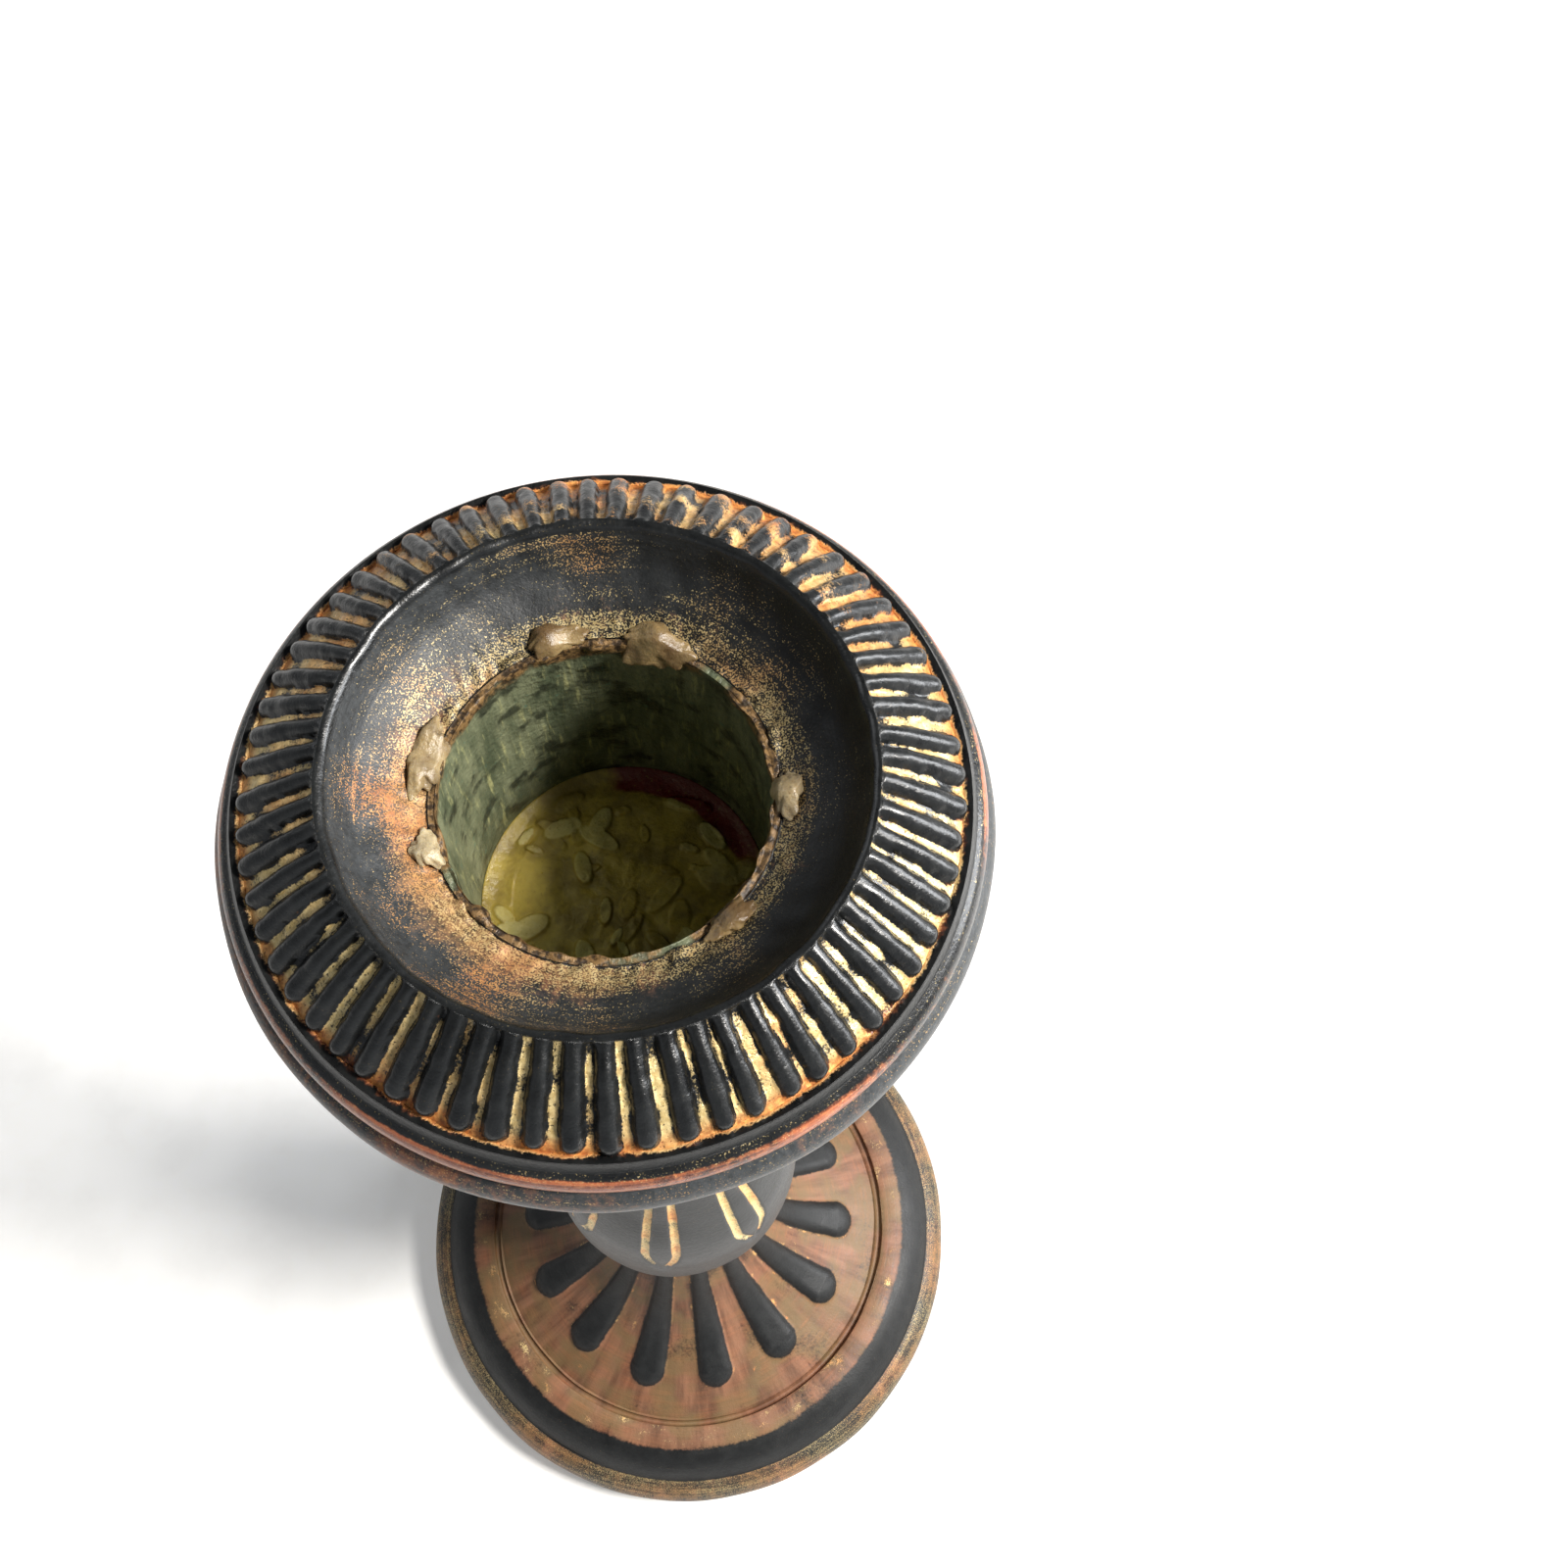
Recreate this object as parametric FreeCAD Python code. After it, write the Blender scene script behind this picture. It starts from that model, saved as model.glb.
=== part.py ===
import FreeCAD, Part
import os
from math import acos, cos, pi, sin, sqrt
from FreeCAD import Vector

# A small turned candlestick in carved, painted and gilded wood. It is four turned pieces
# joined by round tenons, with a brass lined candle socket, a long screw up through the base
# and a baize pad under it. +Z is up. The origin is on the axis, on the face that the pad
# rests on. All sizes are in millimetres.

# ---- Base ----
base_r = 45.0            # widest point of the rounded rim
base_h = 46.7            # underside of the base to the shoulder of the stem
pad_t = 1.0              # thickness of the baize
pad_inset = 2.0          # pad edge inside the foot of the base
foot_in = 1.8            # foot of the base inside the widest point
rim_h = 7.5              # height of the rounded rim
rim_w = 3.15             # widest point in to the step above the rim
moulding_w = 8.35        # width of the rounded moulding inside the step
moulding_h = 5.0         # rise of that moulding
groove_w = 0.9           # turned groove between the moulding and the dome
groove_d = 0.7
dome_top_r = 8.6         # radius where the dome meets the stem

# ---- Stem ----
collar_r = 10.8          # rounded collar at the foot of the stem
collar_h = 7.2
collar_neck_r = 8.4      # stem beside the collar
waist_r = 7.9            # narrowest point, under the vase
waist_h = 3.6            # height of the hollow at the waist
belly_r = 16.4           # widest point of the vase
vase_h = 68.3            # shoulder of the stem to the joint below the ring
joint_r = 8.8            # stem radius at that joint

# ---- Column ----
ring_r = 10.6            # rounded ring at the foot of the column
ring_h = 7.2
ring_neck_r = 8.9        # column beside the ring
ring_rise = 3.3          # joint to the underside of the ring
shaft_r = 10.6           # widest point of the shaft
shaft_swell = 5.4        # ring to the widest point of the shaft
column_h = 58.4          # joint below the ring to the joint under the cup
column_top_r = 8.8

# ---- Candle cup and drip pan ----
bore_r = 11.1            # inside of the brass socket, for a 22 mm candle
bore_depth = 25.0        # mouth of the socket to the floor of its liner
liner_t = 0.5            # thickness of the brass
liner_corner = 4.5       # rounding inside its lower corner
cup_floor_t = 8.0        # wood between the column and the liner
cup_wall = 2.4           # wood round the liner at its thinnest
cup_bead_r = 10.2        # small bead at the foot of the cup
cup_bead_h = 3.2
cup_swell = 3.5          # floor of the liner up to the widest point of the bowl
pan_r = 26.2             # widest point of the pan
pan_drop = 9.2           # crest of the pan down to its widest point
rim_roll = 2.0           # half height of the rounded edge of the pan
crest_r = 17.4           # crest between the dish and the lobed slope
dish_depth = 5.5         # crest down to the mouth of the socket
ledge_w = 2.2            # nearly level ledge round the mouth
ledge_rise = 0.8
slope_r = 24.1           # outer end of the lobed slope
slope_drop = 4.5         # crest down to that end
bead_r = 24.85           # copper bead outside the slope
bead_drop = 6.4          # crest down to that bead

# ---- Joints and fasteners ----
tenon_r = 5.0            # every tenon
tenon_gap = 0.1          # glue line round a tenon
end_gap = 1.0            # space past the end of a tenon
column_tenon = 15.0      # length of the tenon below the column
cup_tenon = 12.0         # length of the tenon below the cup
web_t = 9.7              # wood between the head of the screw and the stem's tenon
head_bore_r = 8.0        # counterbore under the base
head_bore_depth = 8.0
screw_r = 2.25
screw_bite = 17.0        # length of screw in the stem's tenon
screw_tip = 4.0          # pointed end, within that length
screw_head_r = 4.6
screw_head_t = 2.8
slot_w = 1.1
slot_d = 1.3
hole_gap = 0.35          # round the screw in the base and the washer
washer_r = 7.0
washer_t = 1.2

# ---- Wax left in the socket ----
wax_t = 3.85             # depth of the old wax
wax_edge = 0.3           # how far it climbs at the wall
drip_off = 0.6           # drips stay this far back from the socket's wall

# ---- Carving: lobes stand proud of the valleys between them. The shallow petals on the dome
# and on the vase, under a millimetre high, are left plain here. ----
pan_lobes = 64
pan_valley_w = (0.75, 0.6)      # outer and inner width of the valley between two lobes
pan_valley_d = (0.5, 0.4)
pan_valley_in = 0.7             # inner end, outside the crest
pan_valley_out = 0.35           # outer end, inside the end of the slope
column_reeds = 20
column_valley_w = (1.0, 0.85)   # lower and upper width
column_valley_d = (0.5, 0.4)
column_valley_end = 2.6         # shaft ends to the ends of a valley

# ---- Levels, stacked from the table up ----
stem_z = pad_t + base_h
joint_z = stem_z + vase_h
cup_z = joint_z + column_h
liner_z = cup_z + cup_floor_t
socket_z = liner_z + liner_t
mouth_z = socket_z + bore_depth
crest_z = mouth_z + dish_depth
screw_z = pad_t + head_bore_depth
tenon_end_z = screw_z + web_t + end_gap

# ---- Outlines given as shares of the radius and the height they span ----
dome_shape = [(0.757, 0.092), (0.378, 0.30), (0.19, 0.553), (0.06, 0.82), (0.0, 1.0)]
vase_shape = [(0.818, 0.196), (1.0, 0.443), (0.871, 0.587), (0.5, 0.743), (0.2, 0.90)]

UP = Vector(0, 0, 1)
CENTRE = Vector(0, 0, 0)


def turned(start, *moves):
    """A turned solid. Each move is a list of (r, z) points: one point ends a straight run, two
    are an arc through the first of them, and more are a smooth curve through all of them."""
    here = Vector(start[0], 0, start[1])
    edges = []
    for move in moves:
        points = [here] + [Vector(r, 0, z) for r, z in move]
        if len(points) == 2:
            edge = Part.LineSegment(*points)
        elif len(points) == 3:
            edge = Part.Arc(*points)
        else:
            edge = smooth(points)
        edges.append(edge.toShape())
        here = points[-1]
    outline = Part.Face(Part.Wire(edges))
    return outline.revolve(CENTRE, UP, 360)


def smooth(points):
    """A smooth curve through points."""
    curve = Part.BSplineCurve()
    curve.interpolate(points)
    return curve


def spread(shares, r_low, r_high, z_low, z_high):
    """Points from shares of a span in radius and in height."""
    return [(r_low + (r_high - r_low) * a, z_low + (z_high - z_low) * b) for a, b in shares]


def cutter_radius(width, depth, body_r):
    """Radius of the round cutter that leaves this width and depth on a body of body_r."""
    return 1 / (8 * depth / width ** 2 - 1 / body_r)


def outward(along):
    """The direction out of the wood, square to an outline's own direction."""
    out = along.cross(Vector(0, 1, 0))
    return out if out.x + out.z > 0 else -out


def round_rod(low, high, low_r, high_r):
    """A tapering rod between two points, with half a ball on each end."""
    length = (high - low).Length
    half = sqrt(0.5)
    rod = turned(
        (0, -low_r),
        [(low_r * half, -low_r * half), (low_r, 0)],
        [(high_r, length)],
        [(high_r * half, length + high_r * half), (0, length + high_r)],
        [(0, -low_r)],
    )
    rod.Placement = FreeCAD.Placement(low, FreeCAD.Rotation(UP, high - low))
    return rod


def plain_rod(low, high, low_r, high_r):
    """A tapering rod between two points, with square ends."""
    rod = Part.makeCone(low_r, high_r, (high - low).Length)
    rod.Placement = FreeCAD.Placement(low, FreeCAD.Rotation(UP, high - low))
    return rod


def straight_cutter(start, end, widths, depths, body_r, rod):
    """Cutter for a straight valley between two (r, z) points on the surface, the lower one
    first, which keeps the seam of the rod out of the wood."""
    low = Vector(start[0], 0, start[1])
    high = Vector(end[0], 0, end[1])
    out = outward((high - low).normalize())
    radii = [cutter_radius(w, d, body_r) for w, d in zip(widths, depths)]
    low = low + out * (radii[0] - depths[0])
    high = high + out * (radii[1] - depths[1])
    return rod(low, high, *radii)


def on_corner(low_z, outer_r, radius, share):
    """A point on a cup's rounded lower corner, from its floor (0) up to its wall (1)."""
    angle = share * pi / 2
    return (outer_r - radius + radius * sin(angle), low_z + radius - radius * cos(angle))


def all_round(cutter, count):
    """Copies of a cutter, evenly spaced round the axis."""
    copies = []
    for k in range(count):
        copy = cutter.copy()
        copy.rotate(CENTRE, UP, 360 * k / count)
        copies.append(copy)
    return copies


def carve(body, cutters):
    """Cut every cutter from a body, and keep it one solid."""
    return body.cut(cutters).Solids[0]


def baize_pad():
    pad_r = base_r - foot_in - pad_inset
    return Part.makeCylinder(pad_r, pad_t)


def base():
    rim_top = pad_t + rim_h
    step_r = base_r - rim_w
    moulding_in = step_r - moulding_w
    moulding_top = rim_top + moulding_h
    dome_r = moulding_in - groove_w
    foot_r = base_r - foot_in
    hole_r = screw_r + hole_gap
    mortise_r = tenon_r + tenon_gap
    dome = spread(dome_shape, dome_top_r, dome_r, moulding_top, stem_z)
    return turned(
        (head_bore_r, pad_t),
        [(foot_r, pad_t)],
        [(base_r, pad_t + rim_h * 0.5), (step_r, rim_top)],
        [(step_r - moulding_w * 0.36, rim_top + moulding_h * 0.7), (moulding_in, moulding_top)],
        [(moulding_in - groove_w / 2, moulding_top - groove_d), (dome_r, moulding_top)],
        dome,
        [(mortise_r, stem_z)],
        [(mortise_r, screw_z + web_t)],
        [(hole_r, screw_z + web_t)],
        [(hole_r, screw_z)],
        [(head_bore_r, screw_z)],
        [(head_bore_r, pad_t)],
    )


def vase():
    collar_top = stem_z + collar_h
    waist_top = collar_top + waist_h
    curve = spread(vase_shape, waist_r, belly_r, waist_top, joint_z) + [(joint_r, joint_z)]
    shoulder = (waist_r + 0.65, waist_top)
    return turned(
        (screw_r, tenon_end_z),
        [(tenon_r, tenon_end_z)],
        [(tenon_r, stem_z)],
        [(collar_neck_r, stem_z)],
        [(collar_r, stem_z + collar_h / 2), (collar_neck_r, collar_top)],
        [(waist_r, collar_top + waist_h * 0.45), shoulder],
        curve,
        [(tenon_r + tenon_gap, joint_z)],
        [(tenon_r + tenon_gap, joint_z - column_tenon - end_gap)],
        [(0, joint_z - column_tenon - end_gap)],
        [(0, screw_z + web_t + end_gap + screw_bite)],
        [(screw_r, screw_z + web_t + end_gap + screw_bite - screw_tip)],
        [(screw_r, tenon_end_z)],
    )


def column():
    ring_z = joint_z + ring_rise
    ring_top = ring_z + ring_h
    swell_z = ring_top + shaft_swell
    body = turned(
        (0, joint_z - column_tenon),
        [(tenon_r, joint_z - column_tenon)],
        [(tenon_r, joint_z)],
        [(joint_r, joint_z)],
        [(joint_r * 0.98, joint_z + ring_rise * 0.5), (ring_neck_r, ring_z)],
        [(ring_r, ring_z + ring_h / 2), (ring_neck_r, ring_top)],
        [(shaft_r - 0.55, ring_top + shaft_swell * 0.4), (shaft_r, swell_z)],
        [(column_top_r, cup_z)],
        [(tenon_r + tenon_gap, cup_z)],
        [(tenon_r + tenon_gap, cup_z - cup_tenon - end_gap)],
        [(0, cup_z - cup_tenon - end_gap)],
        [(0, joint_z - column_tenon)],
    )
    valley = straight_cutter((shaft_r, swell_z + column_valley_end * 0.3),
                             (column_top_r, cup_z - column_valley_end),
                             column_valley_w, column_valley_d, shaft_r, round_rod)
    return carve(body, all_round(valley, column_reeds))


def candle_cup():
    cup_r = bore_r + liner_t + cup_wall
    hole_r = bore_r + liner_t
    hole_corner = liner_corner + liner_t
    bead_top = cup_z + cup_bead_h
    edge_z = crest_z - pan_drop
    under_z = edge_z - rim_roll
    wall_z = liner_z + cup_swell
    ledge_r = hole_r + ledge_w - liner_t
    ledge_z = mouth_z + ledge_rise
    body = turned(
        (0, cup_z - cup_tenon),
        [(tenon_r, cup_z - cup_tenon)],
        [(tenon_r, cup_z)],
        [(column_top_r, cup_z)],
        [(cup_bead_r, cup_z + cup_bead_h / 2), (column_top_r, bead_top)],
        [(cup_r - 1.2, bead_top + (wall_z - bead_top) * 0.42), (cup_r, wall_z)],
        [(cup_r + 2.4, under_z - (under_z - wall_z) * 0.25), (pan_r - rim_roll * 0.9, under_z)],
        [(pan_r, edge_z), (bead_r + 0.35, crest_z - bead_drop - 1.3)],
        [(bead_r + 0.45, crest_z - bead_drop), (bead_r - 0.4, crest_z - bead_drop + 0.9)],
        [(slope_r, crest_z - slope_drop - 0.35)],
        [(slope_r, crest_z - slope_drop)],
        [((crest_r + slope_r) / 2 + 0.2, crest_z - slope_drop * 0.42), (crest_r + 0.4, crest_z)],
        [(crest_r, crest_z - 0.1), (crest_r - 0.3, crest_z - 0.5)],
        [(ledge_r + (crest_r - ledge_r) * 0.6, ledge_z + (crest_z - ledge_z) * 0.36),
         (ledge_r, ledge_z)],
        [(hole_r, mouth_z)],
        [(hole_r, liner_z + hole_corner)],
        [on_corner(liner_z, hole_r, hole_corner, 0.5), (hole_r - hole_corner, liner_z)],
        [(0, liner_z)],
        [(0, cup_z - cup_tenon)],
    )
    run = slope_r - crest_r
    inner = pan_valley_in
    outer = run - pan_valley_out
    fall = slope_drop / run
    valley = straight_cutter((crest_r + outer, crest_z - fall * outer + 0.1),
                             (crest_r + inner, crest_z - fall * inner * 0.75),
                             pan_valley_w, pan_valley_d, pan_r * 4, plain_rod)
    return carve(body, all_round(valley, pan_lobes))


def socket_liner():
    outer_r = bore_r + liner_t
    outer_corner = liner_corner + liner_t
    return turned(
        (0, liner_z),
        [(outer_r - outer_corner, liner_z)],
        [on_corner(liner_z, outer_r, outer_corner, 0.5), (outer_r, liner_z + outer_corner)],
        [(outer_r, mouth_z)],
        [(bore_r, mouth_z)],
        [(bore_r, socket_z + liner_corner)],
        [on_corner(socket_z, bore_r, liner_corner, 0.5), (bore_r - liner_corner, socket_z)],
        [(0, socket_z)],
        [(0, liner_z)],
    )


def wax_puddle():
    """Old wax that fills most of the rounded foot of the liner."""
    top_z = socket_z + wax_t
    filled = acos(1 - (wax_t + wax_edge) / liner_corner) / (pi / 2)
    return turned(
        (0, socket_z),
        [(bore_r - liner_corner, socket_z)],
        [on_corner(socket_z, bore_r, liner_corner, filled / 2),
         on_corner(socket_z, bore_r, liner_corner, filled)],
        [(bore_r * 0.93, top_z + wax_edge * 0.15), (bore_r * 0.8, top_z)],
        [(0, top_z)],
        [(0, socket_z)],
    )


def wax_drips(cup, liner):
    """Hardened drips on the ledge round the mouth: bearing, length, width and height."""
    lumps = [(78, 4.2, 1.7, 1.1), (112, 3.4, 1.2, 0.8), (172, 4.6, 1.5, 0.8),
             (203, 2.0, 1.2, 0.7), (4, 2.6, 1.2, 0.8), (318, 3.0, 1.1, 0.6)]
    clear = Part.makeCylinder(bore_r + drip_off, 3 * bore_depth, Vector(0, 0, socket_z))
    drips = []
    for bearing, length, width, height in lumps:
        stretch = FreeCAD.Matrix()
        stretch.scale(width / 2 + 0.4, length / 2, height + ledge_rise)
        lump = Part.makeSphere(1.0).transformGeometry(stretch)
        lump.translate(Vector(bore_r + drip_off + width / 2, 0, mouth_z + ledge_rise / 2))
        lump.rotate(CENTRE, UP, bearing)
        rest = lump.cut([cup, liner, clear])
        drips.append(max(rest.Solids, key=lambda solid: solid.CenterOfMass.z))
    return Part.makeCompound(drips)


def base_screw():
    length_z = tenon_end_z + screw_bite
    seat_z = screw_z - washer_t
    low_z = seat_z - screw_head_t
    screw = turned(
        (0, low_z),
        [(screw_head_r * 0.55, low_z)],
        [(screw_head_r * 0.88, low_z + screw_head_t * 0.4), (screw_head_r, seat_z)],
        [(screw_r, seat_z)],
        [(screw_r, length_z - screw_tip)],
        [(0, length_z)],
        [(0, low_z)],
    )
    slot = Part.makeBox(2 * screw_head_r + 2, slot_w, slot_d,
                        Vector(-screw_head_r - 1, -slot_w / 2, low_z))
    return carve(screw, [slot])


def screw_washer():
    ring = Part.makeCylinder(washer_r, washer_t, Vector(0, 0, screw_z - washer_t))
    hole = Part.makeCylinder(screw_r + hole_gap, washer_t, Vector(0, 0, screw_z - washer_t))
    return ring.cut(hole)


cup_solid = candle_cup()
liner_solid = socket_liner()
nodes = {
    "baize_pad": baize_pad(),
    "base": base(),
    "base_screw": base_screw(),
    "screw_washer": screw_washer(),
    "vase_stem": vase(),
    "reeded_column": column(),
    "candle_cup": cup_solid,
    "socket_liner": liner_solid,
    "wax_puddle": wax_puddle(),
    "wax_drips": wax_drips(cup_solid, liner_solid),
}
os.makedirs("parts", exist_ok=True)
for name, shape in nodes.items():
    shape.exportStep("parts/" + name + ".step")
    print(name, len(shape.Solids), shape.isValid(), round(shape.Volume, 1))
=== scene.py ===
import math

import bpy
import numpy as np
from mathutils import Matrix, Vector


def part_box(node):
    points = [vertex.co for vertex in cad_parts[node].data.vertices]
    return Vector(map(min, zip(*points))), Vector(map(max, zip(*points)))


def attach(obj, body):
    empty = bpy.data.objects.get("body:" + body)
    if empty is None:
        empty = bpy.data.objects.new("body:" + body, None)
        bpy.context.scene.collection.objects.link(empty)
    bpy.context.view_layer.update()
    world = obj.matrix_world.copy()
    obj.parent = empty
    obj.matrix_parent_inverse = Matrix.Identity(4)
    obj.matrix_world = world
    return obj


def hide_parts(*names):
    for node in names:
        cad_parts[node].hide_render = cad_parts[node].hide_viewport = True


# A small turned candlestick in carved, painted and gilded wood, with a brass lined socket and
# old wax. Working sizes are in millimetres and bearings in degrees from +X. Meshes are written
# in metres.

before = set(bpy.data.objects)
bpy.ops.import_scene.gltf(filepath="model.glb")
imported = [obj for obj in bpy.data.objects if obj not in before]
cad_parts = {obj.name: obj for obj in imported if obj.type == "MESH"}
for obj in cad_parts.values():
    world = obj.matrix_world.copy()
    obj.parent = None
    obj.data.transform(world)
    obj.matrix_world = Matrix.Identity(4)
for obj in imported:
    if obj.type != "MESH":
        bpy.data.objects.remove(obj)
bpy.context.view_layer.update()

MM = 0.001
SEED = 11


# ---------------------------------------------------------------- sizes, from the frame
def reach(node):
    """Lowest z, highest z and widest radius of a node, in millimetres."""
    low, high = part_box(node)
    return low.z / MM, high.z / MM, high.x / MM


foot_z, stem_z, base_r = reach("base")
tenon_end_z, joint_z, belly_r = reach("vase_stem")
column_end_z, cup_z, shaft_r = reach("reeded_column")
cup_end_z, crest_z, pan_r = reach("candle_cup")
liner_z, mouth_z, hole_r = reach("socket_liner")
socket_z, wax_top_z, bore_r = reach("wax_puddle")
pad_low_z, pad_top_z, pad_r = reach("baize_pad")
screw_end_z = reach("base_screw")[1]
washer_top_z = reach("screw_washer")[1]

# The joints
tenon_r = 5.0
glue_gap = 0.1              # round a tenon
end_gap = 1.0               # beyond the end of a tenon
screw_r = 2.25
pilot_r = 0.6               # the narrow end of the screw's hole
hole_clear_r = 2.6          # the screw's hole through the base
counterbore_r = 8.0         # the well for the screw's head
web_top_z = tenon_end_z - end_gap

# The base
petals = 14
petal_half = 2.75           # half the width of a petal's round outer end
petal_out_r = 28.0
petal_in_r = 9.4
foot_in = 1.8               # foot inside the rim's widest place
rim_h = 7.5
rim_top = foot_z + rim_h
step_r = base_r - 3.15
moulding_in = step_r - 8.35
moulding_top = rim_top + 5.0
dome_r = moulding_in - 0.9
dome_top_r = 8.6

# The vase, with the collar and waist below it
line_pairs = 8
neck_r = 8.4
collar_r = 10.8
collar_h = 7.2
waist_r = 7.9
waist_h = 3.6
line_low = 84.5             # height of the lines' lower ends
joint_r = 8.8               # top of the vase

# The column, with the ring below it
reeds = 20
ring_low = 3.3              # ring above the joint
ring_h = 7.2
ring_neck_r = 8.9
swell_h = 5.4
column_top_r = 8.8
cut_half = 0.5              # half the width of the cut between two reeds

# The candle cup and its pan
lobes = 64
cup_bead_r = 10.2
cup_bead_h = 3.2
cup_swell = 3.5             # the cup's widest place above the liner's floor
crest_r = 17.4
slope_r = 24.1
slope_drop = 4.5
bead_r = 24.85              # the copper bead at the foot of the slope
bead_z = crest_z - 6.4
edge_z = crest_z - 9.2      # the pan's widest place

# The socket's rounded lower corner, outside and inside: its radius, and how far the middle of
# its arc lies from the wall and from the floor
hole_corner = 5.0
hole_corner_mid = 1.46
wall_corner = 4.5
wall_corner_mid = 1.32


# ---------------------------------------------------------------- turned outlines
def steps(length, spacing):
    """Shares from 0 to 1, about spacing apart on a run of this length."""
    return np.linspace(0, 1, max(int(math.ceil(length / spacing)), 2) + 1)


def arc_run(points, spacing):
    """Points on the arc through three points."""
    first, middle, last = points
    square = [middle @ middle - first @ first, last @ last - first @ first]
    centre = np.linalg.solve(2 * np.array([middle - first, last - first]), square)
    angles = np.unwrap([math.atan2(p[1] - centre[1], p[0] - centre[0]) for p in points])
    radius = np.hypot(*(first - centre))
    share = steps(radius * abs(angles[2] - angles[0]), spacing)
    angle = angles[0] + (angles[2] - angles[0]) * share
    return centre + radius * np.stack([np.cos(angle), np.sin(angle)], 1)


def curve_run(points, spacing):
    """Points on the natural cubic curve through four or more points."""
    gaps = np.hypot(*np.diff(points, axis=0).T)
    knots = np.concatenate([[0], np.cumsum(gaps)])
    count = len(points)
    system = np.eye(count)
    jumps = np.zeros((count, 2))
    for i in range(1, count - 1):
        system[i, i - 1:i + 2] = gaps[i - 1], 2 * (gaps[i - 1] + gaps[i]), gaps[i]
        after = (points[i + 1] - points[i]) / gaps[i]
        before = (points[i] - points[i - 1]) / gaps[i - 1]
        jumps[i] = 6 * (after - before)
    bend = np.linalg.solve(system, jumps)
    at = steps(knots[-1], spacing) * knots[-1]
    i = np.clip(np.searchsorted(knots, at, side="right") - 1, 0, count - 2)
    gap = gaps[i][:, None]
    back = (knots[i + 1] - at)[:, None] / gap
    on = 1 - back
    bow = ((back ** 3 - back) * bend[i] + (on ** 3 - on) * bend[i + 1]) * gap ** 2 / 6
    return back * points[i] + on * points[i + 1] + bow


def spread(shares, r_low, r_high, z_low, z_high):
    """Points from shares of a span in radius and in height."""
    return [(r_low + (r_high - r_low) * a, z_low + (z_high - z_low) * b) for a, b in shares]


class Outline:
    """A turned outline, from the bottom up the outside and back down the inside. Each run is a
    name and its points: one more point is a straight run, two an arc through the first of them,
    more a smooth curve. Corners are softened by wear. Rows are closest where it bends most.
    Its columns are each row's radius, length along its run, and height."""

    FINE = 0.04

    def __init__(self, start, *runs, step=1.2, bend=9.0, wear=0.16, close=None):
        close = close or {}
        here = start
        points, names, along = [], [], []
        for name, *ends in runs:
            run = np.array([here] + ends, float)
            if len(run) == 2:
                share = steps(np.hypot(*(run[1] - run[0])), self.FINE)[:, None]
                line = run[0] + (run[1] - run[0]) * share
            elif len(run) == 3:
                line = arc_run(run, self.FINE)
            else:
                line = curve_run(run, self.FINE)
            length = np.concatenate([[0], np.cumsum(np.hypot(*np.diff(line, axis=0).T))])
            points.append(line[:-1])
            along.append(length[:-1])
            names += [name] * (len(line) - 1)
            here = ends[-1]
        self.closed = start[0] > 0.01
        points = np.concatenate(points + ([] if self.closed else [np.array([here], float)]))
        along = np.concatenate(along + ([] if self.closed else [[0.0]]))
        names += [] if self.closed else [names[-1]]
        points = self.worn(points, wear)
        tangent = np.roll(points, -1, 0) - np.roll(points, 1, 0)
        if not self.closed:
            tangent[0], tangent[-1] = (1, 0), (-1, 0)
        tangent /= np.hypot(*tangent.T)[:, None]
        turn = np.arctan2(tangent[:, 1], tangent[:, 0])
        bends = np.abs((np.diff(turn, append=turn[-1]) + np.pi) % (2 * np.pi) - np.pi)
        size = np.hypot(*np.diff(points, axis=0, append=points[-1:]).T)
        spacing = np.array([close.get(name, step) for name in names])
        weight = np.cumsum(size / spacing + np.degrees(bends) / bend)
        want = np.linspace(weight[0], weight[-1], int(weight[-1]) + 2)
        keep = np.unique(np.searchsorted(weight, want).clip(0, len(points) - 1))
        if self.closed:
            keep = keep[keep < len(points) - 1]
        self.r, self.z = points[keep].T
        self.out_r, self.out_z = tangent[keep, 1], -tangent[keep, 0]
        self.name = np.array(names)[keep]
        self.along = along[keep]
        if not self.closed:
            self.r[0] = self.r[-1] = 0.0
        self.columns = self.r[:, None], self.along[:, None], self.z[:, None]

    def worn(self, points, wear):
        """The outline with its corners rounded off."""
        reach_n = int(3 * wear / self.FINE)
        weights = np.exp(-0.5 * (np.arange(-reach_n, reach_n + 1) * self.FINE / wear) ** 2)
        weights /= weights.sum()
        mode = "wrap" if self.closed else "edge"
        padded = np.pad(points, ((reach_n, reach_n), (0, 0)), mode=mode)
        return np.stack([np.convolve(c, weights, "valid") for c in padded.T], 1)

    def on(self, *names):
        """1 on the rows of these runs and 0 elsewhere, as a column."""
        return np.isin(self.name, names)[:, None].astype(float)


# ---------------------------------------------------------------- numbers over a turned surface
def smooth(value, low, high):
    """0 below low, 1 above high, and smooth between them."""
    share = np.clip((value - low) / (high - low), 0, 1)
    return share * share * (3 - 2 * share)


def bump_at(value, middle, half):
    """1 at the middle, falling smoothly to 0 at half away from it."""
    return 1 - smooth(np.abs(value - middle), 0, half)


def around(angle, middle, half):
    """1 at a bearing, falling to 0 over about this many degrees either side."""
    degrees = (np.degrees(angle) - middle + 180) % 360 - 180
    return np.exp(-(degrees / half) ** 2)


def facing(angle, bearing):
    """1 at a bearing, falling to 0 on the opposite side."""
    return 0.5 + 0.5 * np.cos(angle - math.radians(bearing))


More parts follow.
